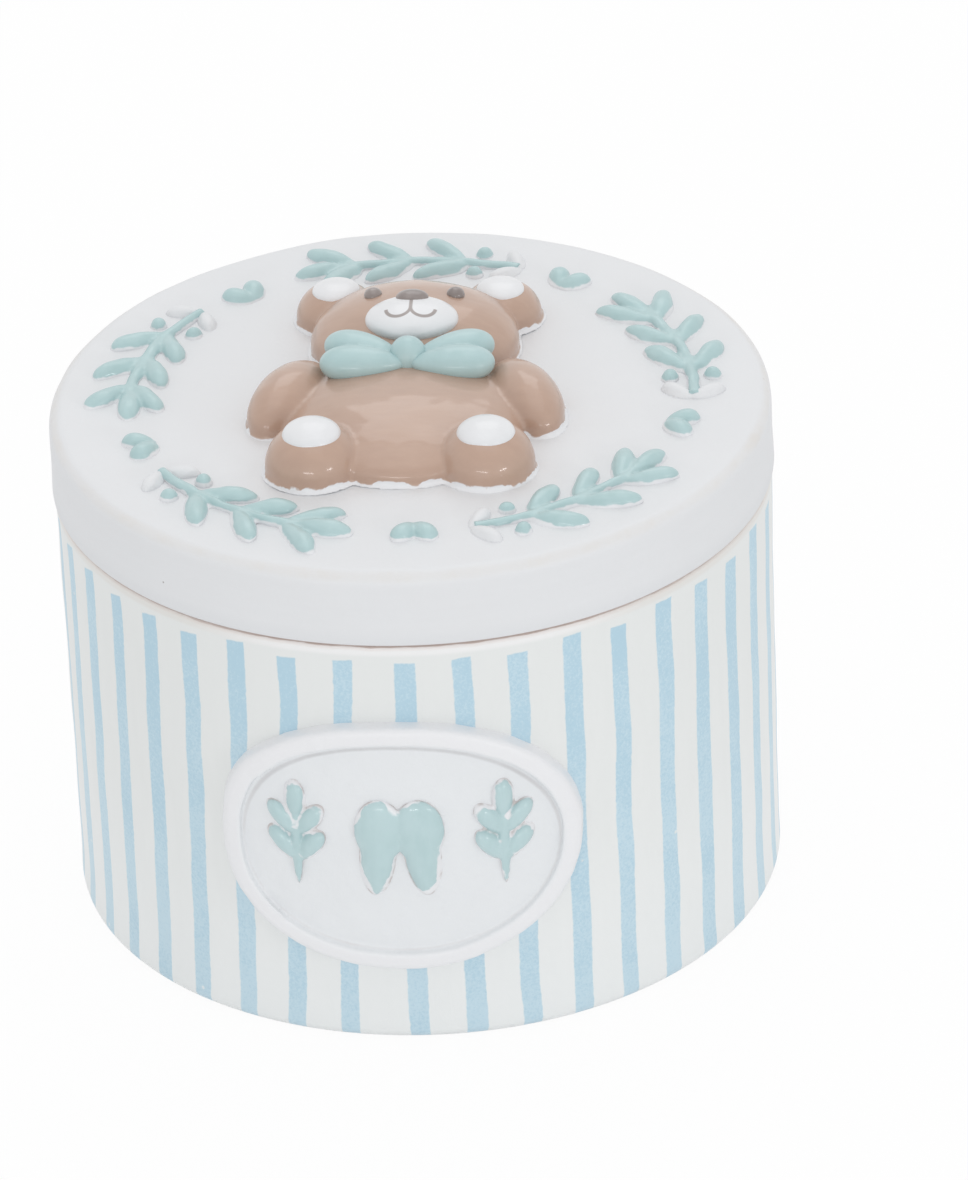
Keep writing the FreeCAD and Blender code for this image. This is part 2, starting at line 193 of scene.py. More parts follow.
# Steps of the meshes
ROUND_STEPS = 8
TURNED_SIDES = 192
LUMP_SEGMENTS = 48
LUMP_RINGS = 24
STEM_SIDES = 24
STEM_STEPS = 32
ROW = 1.4 * MM
TOUCH = 0.001 * MM

# Paint colours, linear
LID_WHITE = (0.785, 0.795, 0.815)
LID_SHADE = (0.745, 0.755, 0.77)
# Grey of the painted shade on the lid's side and foot
LID_PAINTED_SHADE_GREY = (0.62, 0.64, 0.665)
WALL_WHITE = (0.805, 0.82, 0.815)
# Darker wall white: the tone's random spread, and the painted shade near the wall's top
WALL_SHADE = (0.765, 0.785, 0.78)
# Painted light bounced off the floor, lightening the wall towards its foot
WALL_PAINTED_BOUNCE_WHITE = (0.86, 0.88, 0.885)
# The lip's white, lit as a painted highlight at the front, and its cream, darkened as painted shade further
# round
LIP_HIGHLIGHT_WHITE = (0.865, 0.865, 0.87)
LIP_SHADED_CREAM = (0.745, 0.73, 0.705)
LIP_PINK = (0.74, 0.62, 0.57)
WEAR_BEIGE = (0.70, 0.63, 0.54)
JOINT_BROWN = (0.36, 0.21, 0.15)
CHIP_BROWN = (0.47, 0.34, 0.26)
SPECK_GREY = (0.30, 0.27, 0.26)
GRIME_BROWN = (0.36, 0.28, 0.24)
# Grime and painted shade in the plaque's crease, and the grey painted shadow under its rim
CREASE_GRIME_AND_SHADE_ROSE = (0.50, 0.42, 0.40)
UNDERCUT_SHADOW_GREY = (0.44, 0.42, 0.43)
PLAQUE_WHITE = (0.805, 0.825, 0.845)
PLAQUE_SHADE = (0.77, 0.79, 0.81)
STRIPE_BLUE = (0.45, 0.635, 0.745)
STRIPE_PALE = (0.55, 0.71, 0.80)
RELIEF_WHITE = (0.82, 0.825, 0.845)
MINT = (0.46, 0.622, 0.635)
MINT_DEEP = (0.415, 0.58, 0.59)
PLAQUE_MINT = (0.495, 0.65, 0.67)
PLAQUE_MINT_DEEP = (0.445, 0.605, 0.622)
TAUPE = (0.5, 0.338, 0.257)
TAUPE_DEEP = (0.472, 0.315, 0.24)
BROWN = (0.30, 0.255, 0.24)
BROWN_DEEP = (0.20, 0.165, 0.155)

# Brush streaks: how much finer the noise is along each axis
LID_BRUSH = (0.16, 0.16, 1.6)
WALL_BRUSH = (1.2, 1.2, 0.14)
MINT_BRUSH = (1, 1, 0.5)
TAUPE_BRUSH = (0.5, 1.6, 1)
BROWN_BRUSH = (1, 1, 1)

# Specks: a cell's size and a spot's radius in millimetres, the share of cells with one, its strength
LID_SPECKS = (2.4, 0.13, 0.05, 0.8)
WALL_SPECKS = (2.4, 0.11, 0.04, 0.7)
RELIEF_SPECKS = (2.0, 0.09, 0.03, 0.6)
EDGE_CHIPS = (1.9, 0.3, 0.05, 0.8)
BARE_SPOTS = (1.7, 0.24, 0.035, 0.7)
SPECK_CORE_SHARE = 0.6
SHARP_STEP = 0.001

# Brown line in the joint: its front as an angle and as cosines from it, its bands in millimetres
JOINT_FRONT = math.radians(4)
JOINT_FRONT_BAND = (0.76, 0.96)
JOINT_SIDE_BAND = (-1.1, -0.5)
LID_JOINT_BAND = (0.12, 0.22)
CUP_JOINT_BAND = (-0.26, -0.18)
JOINT_STRENGTH = 0.3
JOINT_FRONT_STRENGTH = 0.22

# Lid's paint: bands in millimetres from its side, top or seat, levels of the noise, strengths from 0 to 1;
# the side and foot bands hold painted shade
LID_EDGE_BAND = (-1.35, -1.0)
LID_SIDE_SHADE_BAND = (-1.6, -0.4)
LID_FOOT_SHADE_BAND = (0.2, 2.0)
LID_SIDE_SHADE = 0.13
LID_FOOT_SHADE = 0.2
WEAR_LEVELS = (0.42, 0.72)
EDGE_WEAR = 0.14
EDGE_WEAR_PATCHES = 0.2

# Painted stripes, in degrees from the plaque's middle, in millimetres and in shares of their pitch
STRIPE_RUN_SPLIT = -4.0
STRIPE_BACK_SPLIT = -177.5
RIGHT_RUN_FIRST = 1.8
RIGHT_RUN_PITCH = 8.87
RIGHT_RUN_SEED = 57.3
LEFT_RUN_FIRST = -8.1
LEFT_RUN_PITCH = 8.7
LEFT_RUN_PIVOT = 34.0
LEFT_RUN_LEAN_PER_MM = 0.042
STRIPE_HALF_SHARE = 0.18
STRIPE_PLACE_SPREAD_SHARE = 0.05
STRIPE_WIDTH_SPREAD_SHARE = 0.03
STRIPE_WANDER_SHARE = 0.12
STRIPE_RAGGED_SHARE = 0.035
STRIPE_SOFT_SHARE = 0.014
STRIPE_TOP_GAP = 1.65
STRIPE_TOP_SPREAD = 0.8
STRIPE_TOP_RAGGED = 6
STRIPE_TOP_SOFT = 0.1
STRIPE_TOP_SLANT = 2.2
STRIPE_SLANT_SPREAD = 1.2
STRIPE_SLANT_LIMIT = 0.55
STRIPE_FOOT_BAND = (0.15, 0.45)

# Cup's paint: bands in millimetres from its wall, foot or seat, levels of the noise, strengths from 0 to 1;
# painted light near the foot, painted shade near the top
OUTSIDE_BAND = (-1.6, -1.3)
WALL_BOUNCE_LIGHT_BAND = (0.0, 26.0)
WALL_TOP_SHADE_BAND = (24.0, 38.0)
WALL_LOW_LIGHT = 0.55
WALL_HIGH_SHADE = 0.5
PALE_LEVELS = (0.46, 0.82)
PALE_DRIFT = 0.5
PALE_FALL_PER_MM = 0.0052
LIP_BAND = (-1.3, -0.8)
LIP_STRENGTH = 0.8
LIP_UNEVENNESS = 0.4
LIP_PINK_BAND = (-0.65, -0.35)
LIP_PINK_STRENGTH = 0.28

# Plaque's paint: the crease inside its rim in millimetres, its undercut in shares of the half height; grime
# and painted shade in the crease, a painted shadow in the undercut
CREASE_INSET = 0.1
CREASE_CORE = 0.03
CREASE_REACH = 0.14
CREASE_SHADE_STRENGTH = 0.06
CREASE_GRIME_LEVELS = (0.35, 0.8)
CREASE_GRIME_STRENGTH = 0.12
UNDERCUT_BAND_SHARES = (-0.2, 0.7)
UNDERCUT_INSET = 0.35
UNDERCUT_REACH = 0.16
UNDERCUT_SHADOW_STRENGTH = 0.34
# Band past the crease where the rim takes its painted highlight
RIM_HIGHLIGHT_BAND = (0.0, 0.5)

# Reliefs' paint: the ragged edge in shares of the bare foot, bands in millimetres, levels of the noise
PAINT_LEVELS = (0.35, 0.75)
RAGGED_LEVELS = (0.36, 0.66)
RAGGED_LEAST_SHARE = 0.15
RAGGED_REACH_SHARE = 1.6
RAGGED_SOFT_EDGE = 0.09
FOOT_GRIME_LEVELS = (0.42, 0.6)
FOOT_GRIME_BAND = (0.02, 0.26)
WHITE_FOOT_BAND = (0.0, 0.4)
WHITE_FOOT_WEAR = 0.1
COAT_IOR = 1.5

# Studio: floor, fill light, and for each lamp its place, width, height and power
FLOOR_SIZE = 6.0
FLOOR_WHITE = (0.92, 0.92, 0.92, 1.0)
FLOOR_GLOW_SHARE = 0.94
FILL_LIGHT = 0.79
SOFT_LIGHTS = {
    "front_strip": ((-0.14, -0.96, 0.24), 0.5, 0.05, 0.85),
    "right_strip": ((0.68, -0.68, 0.26), 0.3, 0.06, 0.8),
    "top_softbox": ((0.0, 0.0, 1.1), 0.9, 0.9, 1.2),
    "back_softbox": ((0.0, 0.64, 0.77), 0.5, 0.5, 0.9),
}

# Camera: place in box radii, angles in degrees, focal length in pixels of a picture of this height
CAMERA_PLACE_SHARES = (1.5402, -18.3422, 11.4859)
CAMERA_HEADING = -4.233
CAMERA_DIP = 30.035
CAMERA_ROLL = -2.469
FOCAL_PIXELS = 7557.5
PICTURE_HEIGHT_PIXELS = 1180
FILM_HEIGHT = 36.0


# Modelling by hand

def start(piece, name):
    piece.name = name
    piece.data.name = name
    return piece


def activate(*pieces):
    bpy.ops.object.select_all(action="DESELECT")
    for piece in pieces:
        piece.select_set(True)
    bpy.context.view_layer.objects.active = pieces[0]


@contextlib.contextmanager
def edit_mode(piece):
    activate(piece)
    bpy.ops.object.mode_set(mode="EDIT")
    bpy.ops.mesh.select_mode(type="VERT")
    bpy.ops.mesh.select_all(action="SELECT")
    yield
    bpy.ops.object.mode_set(mode="OBJECT")


def choose(piece, kind, wanted):
    """Selects in edit mode the points or edges that the test accepts, and nothing else."""
    bpy.ops.mesh.select_mode(type=kind)
    bpy.ops.mesh.select_all(action="DESELECT")
    bpy.ops.object.mode_set(mode="OBJECT")
    elements = {"VERT": piece.data.vertices, "EDGE": piece.data.edges}[kind]
    found = 0
    for element in elements:
        element.select = wanted(element)
        found += element.select
    bpy.ops.object.mode_set(mode="EDIT")
    return found


def finish_with(piece, kind, **settings):
    """Adds a modifier, sets it and applies it."""
    activate(piece)
    modifier = piece.modifiers.new(kind.lower(), kind)
    for name, value in settings.items():
        setattr(modifier, name, value)
    bpy.ops.object.modifier_apply(modifier=modifier.name)


def apply_place(piece, place=(0, 0, 0), turn=0.0):
    """Turns a piece about Z, carries it to a place and leaves that in its mesh."""
    activate(piece)
    piece.rotation_euler = (0, 0, turn)
    piece.location = place
    bpy.ops.object.transform_apply(location=True, rotation=True, scale=True)
    return piece


def edge_length(piece, edge):
    first, second = (piece.data.vertices[index].co for index in edge.vertices)
    return (first - second).length


def turned(name, corners):
    """Profile of (radius, height, round) corners, drawn from a point, rounded and spun about Z."""
    bpy.ops.object.select_all(action="DESELECT")
    bpy.ops.mesh.primitive_plane_add(size=ROW)
    piece = start(bpy.context.object, name)
    with edit_mode(piece):
        bpy.ops.mesh.merge(type="CENTER")
        here = Vector()
        for index, (radius, height, _) in enumerate(corners):
            step = Vector((radius, 0, height)) - here
            here += step
            if index:
                bpy.ops.mesh.extrude_region_move(TRANSFORM_OT_translate={"value": step})
            else:
                bpy.ops.transform.translate(value=step)
        for radius, height, rounding in corners:
            corner = Vector((radius, 0, height))
            if rounding:
                choose(piece, "VERT", lambda point: (point.co - corner).length < TOUCH)
                bpy.ops.mesh.bevel(offset=rounding, segments=ROUND_STEPS, affect="VERTICES")
        while choose(piece, "EDGE", lambda edge: edge_length(piece, edge) > ROW):
            bpy.ops.mesh.subdivide(number_cuts=1)
        bpy.ops.mesh.select_all(action="SELECT")
        bpy.ops.mesh.spin(steps=TURNED_SIDES, angle=FULL_TURN, center=(0, 0, 0), axis=(0, 0, 1))
        bpy.ops.mesh.select_all(action="SELECT")
        bpy.ops.mesh.remove_doubles(threshold=TOUCH)
        bpy.ops.mesh.normals_make_consistent(inside=False)
    return piece


def eased(distance):
    """Share that goes from 0 at an edge to 1 at some way from it."""
    return min(max(distance / EDGE_EASE, 0.0), 1.0)


def worn(piece, depth, size, direction="NORMAL", level=PRESSED_IN, hold=None):
    """Uneven surface of up to a depth, over patches of a size; hold gives its share at a height."""
    texture = bpy.data.textures.new(piece.name + "_unevenness", "CLOUDS")
    texture.noise_scale = size
    texture.noise_depth = 1
    group = ""
    if hold:
        shares = piece.vertex_groups.new(name="uneven")
        for point in piece.data.vertices:
            shares.add([point.index], hold(point.co.z), "REPLACE")
        group = shares.name
    finish_with(
        piece,
        "DISPLACE",
        texture=texture,
        texture_coords="LOCAL",
        direction=direction,
        strength=depth,
        mid_level=level,
        vertex_group=group,
    )
    piece.vertex_groups.clear()


def swayed(piece, sways):
    """Lets a piece's outline wander either way along each axis."""
    for axis, (reach, size) in sways.items():
        worn(piece, reach, size, direction=axis, level=EITHER_WAY)


def lump(half_sizes, place, turn=0.0, taper=0.0):
    """Ball of clay pressed to half sizes; a taper narrows its end towards -X."""
    bpy.ops.object.select_all(action="DESELECT")
    bpy.ops.mesh.primitive_uv_sphere_add(
        segments=LUMP_SEGMENTS, ring_count=LUMP_RINGS, radius=1, scale=half_sizes)
    piece = start(bpy.context.object, "lump")
    bpy.ops.object.transform_apply(location=True, rotation=True, scale=True)
    if taper:
        finish_with(piece, "SIMPLE_DEFORM", deform_method="TAPER", deform_axis="X", factor=taper)
    return apply_place(piece, place, turn)


def soft_foot(half_width, half_length, reach, place, turn=0.0):
    """Low lump, sunk a little into the ground, that eases a relief's foot into it."""
    sunk = Vector(place) - Vector((0, 0, FOOT_SINK))
    return lump((half_width + reach, half_length + reach, FOOT_PROUD + FOOT_SINK), sunk, turn)


def dome(half_width, half_length, height, place, turn=0.0, reach=FIGURE_FOOT_REACH):
    """Lump that stands on a surface, its widest part a little above its soft foot."""
    shoulder = height * SHOULDER_SHARE
    raised = Vector(place) + Vector((0, 0, shoulder))
    body = lump((half_width, half_length, height - shoulder), raised, turn)
    return [body, soft_foot(half_width, half_length, reach, place, turn)]


def leaf(length, width, proud, place, direction):
    """Leaf from a place in a direction, narrow at its stalk and round at its tip, with a soft foot."""
    half_length = length / 2
    centre = Vector(place) + Vector((math.cos(direction), math.sin(direction), 0)) * half_length
    blade = lump((half_length, width / 2, proud), centre, direction, taper=LEAF_TAPER)
    return [blade, soft_foot(half_length, width / 2, LEAF_FOOT_REACH, centre, direction)]


def joined(name, pieces):
    activate(*pieces)
    if len(pieces) > 1:
        bpy.ops.object.join()
    return start(bpy.context.object, name)


def together(name, shapes, grain=FINE_GRAIN, softness=RELIEF_SOFTNESS):
    """Works overlapping lumps into one casting with soft creases."""
    piece = joined(name, shapes)
    finish_with(piece, "REMESH", mode="VOXEL", voxel_size=grain)
    finish_with(piece, "SMOOTH", factor=SMOOTHING, iterations=softness)
    return piece


def bedded(piece):
    """Cuts a casting off flat a little below the lid's top, which carries it."""
    with edit_mode(piece):
        bpy.ops.mesh.bisect(
            plane_co=(0, 0, LID_TOP - BEDDING),
            plane_no=(0, 0, 1),
            use_fill=True,
            clear_inner=True,
            threshold=TOUCH,
        )
    return piece


def smooth(piece):
    activate(piece)
    bpy.ops.object.shade_smooth()
    return piece


def copies_round(piece):
    """Copies of a piece, one for each sprig, each with its own mesh. The piece itself becomes the first."""
    pieces = [piece]
    for index in range(1, SPRIG_COUNT):
        activate(piece)
        bpy.ops.object.duplicate(linked=False)
        pieces.append(apply_place(bpy.context.object, turn=FIRST_SPRIG_ANGLE + index * SPRIG_PITCH))
    apply_place(piece, turn=FIRST_SPRIG_ANGLE)
    return pieces


# Shader expressions

class Link:
    """A shader socket on which Python's operators add Math nodes."""

    def __init__(self, finish, socket):
        self.finish = finish
        self.socket = socket

    def __add__(self, other):
        return self.finish.math("ADD", self, other)

    def __radd__(self, other):
        return self.finish.math("ADD", other, self)

    def __sub__(self, other):
        return self.finish.math("SUBTRACT", self, other)

    def __rsub__(self, other):
        return self.finish.math("SUBTRACT", other, self)

    def __mul__(self, other):
        return self.finish.math("MULTIPLY", self, other)

    def __rmul__(self, other):
        return self.finish.math("MULTIPLY", other, self)

    def __truediv__(self, other):
        return self.finish.math("DIVIDE", self, other)

    def __rtruediv__(self, other):
        return self.finish.math("DIVIDE", other, self)

    def __neg__(self):
        return self.finish.math("MULTIPLY", self, -1)

    def __abs__(self):
        return self.finish.math("ABSOLUTE", self)


class Finish:
    """A material under construction. Its place, x, y and z are Object coordinates in millimetres."""

    def __init__(self, name, **constants):
        self.material = bpy.data.materials.new(name)
        self.material.use_nodes = True
        self.tree = self.material.node_tree
        self.shader = self.tree.nodes["Principled BSDF"]
        self.feed(self.shader, {words.replace("_", " "): value for words, value in constants.items()})
        metres = self.add("ShaderNodeTexCoord", output="Object")
        self.place = self.add("ShaderNodeVectorMath", {"operation": "SCALE"}, {0: metres, "Scale": 1 / MM})
        self.x, self.y, self.z = self.split(self.place)

    def feed(self, node, sockets):
        for key, value in sockets.items():
            socket = node.inputs[key]
            if isinstance(value, Link):
                self.tree.links.new(value.socket, socket)
            elif socket.type == "RGBA":
                socket.default_value = (*value, 1.0)
            else:
                socket.default_value = value

    def add(self, kind, settings=None, sockets=None, output=0):
        """Adds a node: its settings first, then the values or links of its sockets."""
        node = self.tree.nodes.new(kind)
        for name, value in (settings or {}).items():
            setattr(node, name, value)
        self.feed(node, sockets or {})
        return Link(self, node.outputs[output])

    def math(self, operation, *values):
        return self.add("ShaderNodeMath", {"operation": operation}, dict(enumerate(values)))

    def split(self, vector):
        node = self.tree.nodes.new("ShaderNodeSeparateXYZ")
        self.feed(node, {0: vector})
        return [Link(self, socket) for socket in node.outputs]

    def mix(self, factor, first, second):
        """Colour between two colours. Sockets 6 and 7 and output 2 are the node's own ones for colours."""
        return self.add("ShaderNodeMix", {"data_type": "RGBA"}, {0: factor, 6: first, 7: second}, output=2)

    def step(self, value, low, high):
        """Eases from 0 at low to 1 at high."""
        sockets = {"Value": value, "From Min": low, "From Max": high}
        return self.add("ShaderNodeMapRange", {"interpolation_type": "SMOOTHSTEP"}, sockets)

    def noise(self, per_mm, detail=2.0, roughness=0.5, stretch=(1, 1, 1)):
        """Noise between 0 and 1, about a half on average."""
        place = self.add("ShaderNodeVectorMath", {"operation": "MULTIPLY"}, {0: self.place, 1: stretch})
        sockets = {"Vector": place, "Scale": per_mm, "Detail": detail, "Roughness": roughness}
        return self.add("ShaderNodeTexNoise", {}, sockets)

    def chances(self, seed):
        """Three draws between 0 and 1, the same wherever the seed is the same."""
        settings = {"noise_dimensions": "1D"}
        return self.split(self.add("ShaderNodeTexWhiteNoise", settings, {"W": seed}, output="Color"))

    def specks(self, cell, radius, share, strength):
        """Small round spots of up to a radius and of a strength, in a share of cells of a size."""
        sockets = {"Vector": self.place, "Scale": 1 / cell}
        distance = self.add("ShaderNodeTexVoronoi", {}, sockets)
        chance = self.split(self.add("ShaderNodeTexVoronoi", {}, sockets, output="Color"))[0]
        spot = 1 - self.step(distance * cell, radius * SPECK_CORE_SHARE, radius)
        return spot * self.step(chance, 1 - share, 1 - share + SHARP_STEP) * strength

    def radius(self):
        """Distance from the box's axis."""
        return self.math("SQRT", self.x * self.x + self.y * self.y)

    def bump(self, height, depth):
        """Relief of a depth in millimetres, fed to the shader's normal."""
        normal = self.add("ShaderNodeBump", {}, {"Strength": 1.0, "Distance": depth * MM, "Height": height})
        self.feed(self.shader, {"Normal": normal})

    def paint(self, colour, roughness, spread, patches):
        """Feeds the colour, and a roughness that rises by a spread where the patches are 1."""
        self.feed(self.shader, {"Base Color": colour, "Roughness": roughness + patches * spread})
        return self.material


def either_way(chance, spread):
    """A draw between 0 and 1 as a shift of up to half a spread either way."""
    return (chance - 0.5) * spread


# Paints

def at_front(finish):
    """1 at the front of the joint, a little to the right of the plaque's middle; 0 further round."""
    rightwards = finish.x * math.sin(JOINT_FRONT)
    facing = (rightwards - finish.y * math.cos(JOINT_FRONT)) / (BOX_RADIUS / MM)
    return finish.step(facing, *JOINT_FRONT_BAND)


def joint_line(finish, colour, near_joint, from_side):
    """Brown line where lid and cup meet on the outside, darker at the front."""
    line = near_joint * finish.step(from_side, *JOINT_SIDE_BAND)
    strength = JOINT_STRENGTH + at_front(finish) * JOINT_FRONT_STRENGTH
    return finish.mix(line * strength, colour, JOINT_BROWN)


def above_lid(finish):
    return finish.z - LID_TOP / MM


def above_seat(finish):
    return finish.z - SEAT_HEIGHT / MM


def above_plaque(finish):
    return finish.radius() - (BOX_RADIUS + PLAQUE_PLATE) / MM


def lid_white():
    finish = Finish("lid_white")
    from_top = above_lid(finish)
    from_seat = above_seat(finish)
    from_side = finish.radius() - LID_RADIUS / MM
    brush = finish.noise(per_mm=0.9, detail=3.0, stretch=LID_BRUSH)
    cloud = finish.noise(per_mm=0.06)
    colour = finish.mix(brush * 0.5 + cloud * 0.5, LID_SHADE, LID_WHITE)
    edge = finish.step(from_side + from_top, *LID_EDGE_BAND)
    wear = finish.step(finish.noise(per_mm=0.3, detail=4.0, roughness=0.65), *WEAR_LEVELS)
    colour = finish.mix(edge * (EDGE_WEAR + wear * EDGE_WEAR_PATCHES), colour, WEAR_BEIGE)
    colour = finish.mix(finish.specks(*EDGE_CHIPS) * edge, colour, CHIP_BROWN)
    # Painted shade: the lid's side, and more so its foot above the seat, are darkened towards grey
    side = 1 - finish.step(from_top, *LID_SIDE_SHADE_BAND)
    foot = 1 - finish.step(from_seat, *LID_FOOT_SHADE_BAND)
    colour = finish.mix(side * LID_SIDE_SHADE + foot * LID_FOOT_SHADE, colour, LID_PAINTED_SHADE_GREY)
    colour = joint_line(finish, colour, 1 - finish.step(from_seat, *LID_JOINT_BAND), from_side)
    colour = finish.mix(finish.specks(*LID_SPECKS), colour, SPECK_GREY)
    grain = finish.noise(per_mm=2.2, detail=3.0) * 0.5 + finish.noise(per_mm=0.4)
    finish.bump(grain, depth=0.035)
    return finish.paint(colour, roughness=0.42, spread=0.16, patches=cloud)


def painted_stripes(finish):
    """1 in a stripe. Two runs meet in wider gaps at the front and back, and the left one leans."""
    angle = finish.math("ARCTAN2", finish.x, -finish.y) * math.degrees(1)
    angle = angle + finish.math("LESS_THAN", angle, STRIPE_BACK_SPLIT) * math.degrees(FULL_TURN)
    is_right = finish.math("GREATER_THAN", angle, STRIPE_RUN_SPLIT)
    right_run = (angle - RIGHT_RUN_FIRST) / RIGHT_RUN_PITCH
    lean = (finish.z - LEFT_RUN_PIVOT) * LEFT_RUN_LEAN_PER_MM
    left_run = (angle - LEFT_RUN_FIRST - lean) / LEFT_RUN_PITCH
    along = left_run + (right_run - left_run) * is_right
    number = finish.math("ROUND", along)
    place_chance, width_chance, top_chance = finish.chances(number + is_right * RIGHT_RUN_SEED)

    across = along - number - either_way(place_chance, STRIPE_PLACE_SPREAD_SHARE)
    wander = either_way(finish.noise(per_mm=0.11, detail=1.0), STRIPE_WANDER_SHARE)
    ragged = either_way(finish.noise(per_mm=1.6), STRIPE_RAGGED_SHARE)
    half = STRIPE_HALF_SHARE + either_way(width_chance, STRIPE_WIDTH_SPREAD_SHARE) + ragged
    stripe = 1 - finish.step(abs(across + wander), half - STRIPE_SOFT_SHARE, half + STRIPE_SOFT_SHARE)

    leftwards = finish.math("MAXIMUM", finish.x / (-BOX_RADIUS / MM), 0.0)
    slant = STRIPE_TOP_SLANT * finish.math("MINIMUM", leftwards, STRIPE_SLANT_LIMIT)
    slant = slant + either_way(place_chance, STRIPE_SLANT_SPREAD)
    gap = STRIPE_TOP_GAP + either_way(top_chance, STRIPE_TOP_SPREAD)
    top = SEAT_HEIGHT / MM - gap + across * slant + ragged * STRIPE_TOP_RAGGED
    past_top = finish.step(finish.z, top - STRIPE_TOP_SOFT, top + STRIPE_TOP_SOFT)
    return stripe * (1 - past_top) * finish.step(finish.z, *STRIPE_FOOT_BAND)


def striped_white():
    finish = Finish("striped_white")
    from_seat = above_seat(finish)
    from_wall = finish.radius() - BOX_RADIUS / MM
    is_outside = finish.step(from_wall, *OUTSIDE_BAND)
    stripe = painted_stripes(finish) * is_outside
    grain = finish.noise(per_mm=3.4, detail=3.0, roughness=0.7)
    drift = finish.noise(per_mm=0.14)
    pale = finish.step(grain + drift * PALE_DRIFT - finish.z * PALE_FALL_PER_MM, *PALE_LEVELS)
    blue = finish.mix(pale, STRIPE_BLUE, STRIPE_PALE)
    brush = finish.noise(per_mm=0.7, detail=3.0, stretch=WALL_BRUSH)
    # Painted light and shade: the wall is lightened towards its foot, as by light bounced off the floor, and
    # pulled towards the darker white near its top
    low = 1 - finish.step(finish.z, *WALL_BOUNCE_LIGHT_BAND)
    high = finish.step(finish.z, *WALL_TOP_SHADE_BAND)
    white = finish.mix(brush * (1 - high * WALL_HIGH_SHADE), WALL_SHADE, WALL_WHITE)
    white = finish.mix(low * WALL_LOW_LIGHT, white, WALL_PAINTED_BOUNCE_WHITE)
    bare = finish.specks(*BARE_SPOTS)
    colour = finish.mix(stripe * (1 - bare), white, blue)
    # Unstriped lip under the joint: white with a painted highlight at the front, cream as painted shade
    # further round; the inside of the mouth takes the white
    lip = finish.step(from_seat, *LIP_BAND)
    lip_lit_or_shaded = finish.mix(at_front(finish) + 1 - is_outside, LIP_SHADED_CREAM, LIP_HIGHLIGHT_WHITE)
    colour = finish.mix(lip * LIP_STRENGTH, colour, lip_lit_or_shaded)
    uneven = from_seat + either_way(finish.noise(per_mm=0.35), LIP_UNEVENNESS)
    pink = finish.step(uneven, *LIP_PINK_BAND) * is_outside
    colour = finish.mix(pink * LIP_PINK_STRENGTH, colour, LIP_PINK)
    colour = joint_line(finish, colour, finish.step(uneven, *CUP_JOINT_BAND), from_wall)
    colour = finish.mix(finish.specks(*WALL_SPECKS), colour, SPECK_GREY)
    finish.bump(grain * 0.4 + brush * 0.5 + finish.noise(per_mm=0.35) + stripe * 0.25, depth=0.03)
    return finish.paint(colour, roughness=0.32, spread=0.14, patches=drift)


def plaque_white():
    finish = Finish("plaque_white")
    cloud = finish.noise(per_mm=0.25, detail=3.0)
    colour = finish.mix(cloud, PLAQUE_SHADE, PLAQUE_WHITE)
    half_width = (PLAQUE_HALF_WIDTH - RIM_WIDTH) / MM
    half_height = (PLAQUE_HALF_HEIGHT - RIM_WIDTH) / MM
    across = finish.x / half_width
    upwards = (finish.z - PLAQUE_CENTRE / MM) / half_height
    is_left = finish.math("LESS_THAN", finish.x, 0.0)
    power = OVAL_POWERS["right"] + is_left * (OVAL_POWERS["left"] - OVAL_POWERS["right"])
    powers = finish.math("POWER", abs(across), power) + finish.math("POWER", abs(upwards), power)
    from_crease = (finish.math("POWER", powers, 1 / power) - 1) * half_height
    # Painted highlight: the rim, outside the crease, is lightened to the brighter relief white
    colour = finish.mix(finish.step(from_crease, *RIM_HIGHLIGHT_BAND), colour, RELIEF_WHITE)
    # Painted shade with patches of grime in the crease inside the rim, and a darker grey painted shadow
    # along its upper part, under the rim
    undercut_shadow = finish.step(upwards, *UNDERCUT_BAND_SHARES)
    off_line = abs(from_crease + CREASE_INSET + undercut_shadow * UNDERCUT_INSET)
    crease_grime_and_shade = 1 - finish.step(off_line, CREASE_CORE, CREASE_REACH + undercut_shadow * UNDERCUT_REACH)
    grime = finish.step(finish.noise(per_mm=0.3, detail=4.0, roughness=0.6), *CREASE_GRIME_LEVELS)
    strength = CREASE_SHADE_STRENGTH + grime * CREASE_GRIME_STRENGTH + undercut_shadow * UNDERCUT_SHADOW_STRENGTH
    colour = finish.mix(crease_grime_and_shade * strength, colour, finish.mix(undercut_shadow, CREASE_GRIME_AND_SHADE_ROSE, UNDERCUT_SHADOW_GREY))
    grain = finish.noise(per_mm=1.5, detail=4.0, roughness=0.6)
    finish.bump(grain + finish.noise(per_mm=0.5), depth=0.05)
    return finish.paint(colour, roughness=0.3, spread=0.2, patches=grain)


